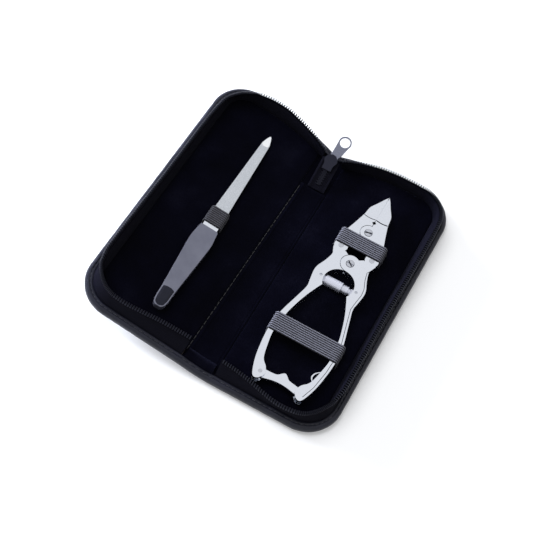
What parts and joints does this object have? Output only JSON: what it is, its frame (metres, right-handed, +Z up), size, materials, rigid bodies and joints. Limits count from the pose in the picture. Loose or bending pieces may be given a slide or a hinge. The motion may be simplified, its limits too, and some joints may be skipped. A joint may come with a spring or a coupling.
{
  "type": "manicure set case",
  "caption": "Open zip-around case in grained leather with a velvet lining, elastic bands, a nail file and double action nail nippers.",
  "frame": {"origin": "on the table, under the middle of the spine and halfway along it", "axes": "+Y along the spine toward the zip slider, +X toward the half that lies flat, +Z up"},
  "size_m": [0.1494, 0.1666, 0.0237],
  "materials": {
    "leather": "grained, satin",
    "board": "plain board",
    "velvet": "short velvet pile",
    "zip_tape": "woven tape",
    "zip_metal": "bright teeth",
    "slider_metal": "dark satin",
    "pull_metal": "satin",
    "elastic": "ribbed elastic",
    "nipper_steel": "polished",
    "screw_steel": "satin",
    "blade_steel": "fine abrasive grain",
    "handle_gloss": "gloss"
  },
  "bodies": {
    "root": {"right_cover": "leather", "right_board": "board", "right_lining": "velvet", "right_zip_tape": "zip_tape", "right_zip_teeth": "zip_metal", "spine_cover": "leather", "spine_strip": "velvet", "spine_gusset": "velvet", "zip_end_chain": "zip_tape", "nipper_band_upper": "elastic", "nipper_band_lower": "elastic"},
    "left_half": {"left_cover": "leather", "left_board": "board", "left_lining": "velvet", "left_zip_tape": "zip_tape", "left_zip_teeth": "zip_metal", "file_band": "elastic"},
    "slider": {"zip_slider": "slider_metal"},
    "pull": {"zip_pull": "pull_metal"},
    "nippers": {"handle_screw": "screw_steel"},
    "jaw_pivot": {"jaw_screw": "screw_steel"},
    "handle_left": {"nipper_handle_left": "nipper_steel", "knuckle_pin_left": "screw_steel", "spring_pin_left": "screw_steel", "catch_pin": "screw_steel"},
    "handle_right": {"nipper_handle_right": "nipper_steel", "knuckle_pin_right": "screw_steel", "spring_pin_right": "screw_steel", "catch_spring": "nipper_steel"},
    "jaw_left": {"nipper_jaw_left": "nipper_steel"},
    "jaw_right": {"nipper_jaw_right": "nipper_steel"},
    "barrel": {"spring_barrel": "nipper_steel", "spring_coil": "screw_steel"},
    "plunger": {"spring_plunger": "nipper_steel"},
    "catch": {"catch_lever": "nipper_steel"},
    "file": {"file_blade": "blade_steel", "file_ferrule": "nipper_steel", "file_handle": "handle_gloss"}
  },
  "joints": [
    {"name": "case_fold", "type": "hinge", "parent": "root", "child": "left_half", "pos_m": [-0.0003, 0, 0.01383], "axis": [0.0143, 0.9999, -0.0043], "range_deg": [0, 172.51], "deforming": ["spine_cover", "spine_strip", "spine_gusset"]},
    {"name": "slider_travel", "type": "slide", "parent": "root", "child": "slider", "axis": [0, -0.9272, -0.3746], "range_m": [0, 0.005], "deforming": ["zip_end_chain"]},
    {"name": "pull_swing", "type": "hinge", "parent": "slider", "child": "pull", "pos_m": [0.0008, 0.06796, 0.00895], "axis": [1, 0, 0], "range_deg": [-20, 15]},
    {"name": "nipper_slide", "type": "slide", "parent": "root", "child": "nippers", "axis": [0, 1, 0], "range_m": [0, 0.006], "deforming": ["nipper_band_upper", "nipper_band_lower"]},
    {"name": "handle_left_open", "type": "hinge", "parent": "nippers", "child": "handle_left", "pos_m": [0.03877, 0.01301, 0.0081], "axis": [0, 0, -1], "range_deg": [0, 5]},
    {"name": "handle_right_open", "type": "hinge", "parent": "nippers", "child": "handle_right", "pos_m": [0.03877, 0.01301, 0.0081], "axis": [0, 0, 1], "range_deg": [0, 5]},
    {"name": "head_travel", "type": "slide", "parent": "nippers", "child": "jaw_pivot", "axis": [0, 1, 0], "range_m": [0, 0.0012]},
    {"name": "jaw_left_open", "type": "hinge", "parent": "jaw_pivot", "child": "jaw_left", "pos_m": [0.03877, 0.03531, 0.0081], "axis": [0, 0, 1], "range_deg": [0, 2.7]},
    {"name": "jaw_right_open", "type": "hinge", "parent": "jaw_pivot", "child": "jaw_right", "pos_m": [0.03877, 0.03531, 0.0081], "axis": [0, 0, -1], "range_deg": [0, 2.7]},
    {"name": "barrel_swing", "type": "hinge", "parent": "handle_left", "child": "barrel", "pos_m": [0.02838, -0.00089, 0.0081], "axis": [0, 0, 1], "range_deg": [0, 5]},
    {"name": "plunger_travel", "type": "slide", "parent": "barrel", "child": "plunger", "axis": [1, 0, 0], "range_m": [0, 0.0024], "deforming": ["spring_coil"]},
    {"name": "catch_swing", "type": "hinge", "parent": "handle_left", "child": "catch", "pos_m": [0.02728, -0.06679, 0.0081], "axis": [0, 0, 1], "range_deg": [0, 60]},
    {"name": "file_slide", "type": "slide", "parent": "left_half", "child": "file", "axis": [-0.002, -1, 0.0071], "range_m": [0, 0.007], "deforming": ["file_band"]}
  ],
  "couplings": [
    {"joint": "handle_right_open", "follows": "handle_left_open", "ratio": 1},
    {"joint": "head_travel", "follows": "handle_left_open", "m_per_rad": 0.013602},
    {"joint": "jaw_left_open", "follows": "handle_left_open", "ratio": 0.53599},
    {"joint": "jaw_right_open", "follows": "handle_left_open", "ratio": 0.53599},
    {"joint": "barrel_swing", "follows": "handle_left_open", "ratio": 1},
    {"joint": "plunger_travel", "follows": "handle_left_open", "m_per_rad": 0.026858}
  ]
}
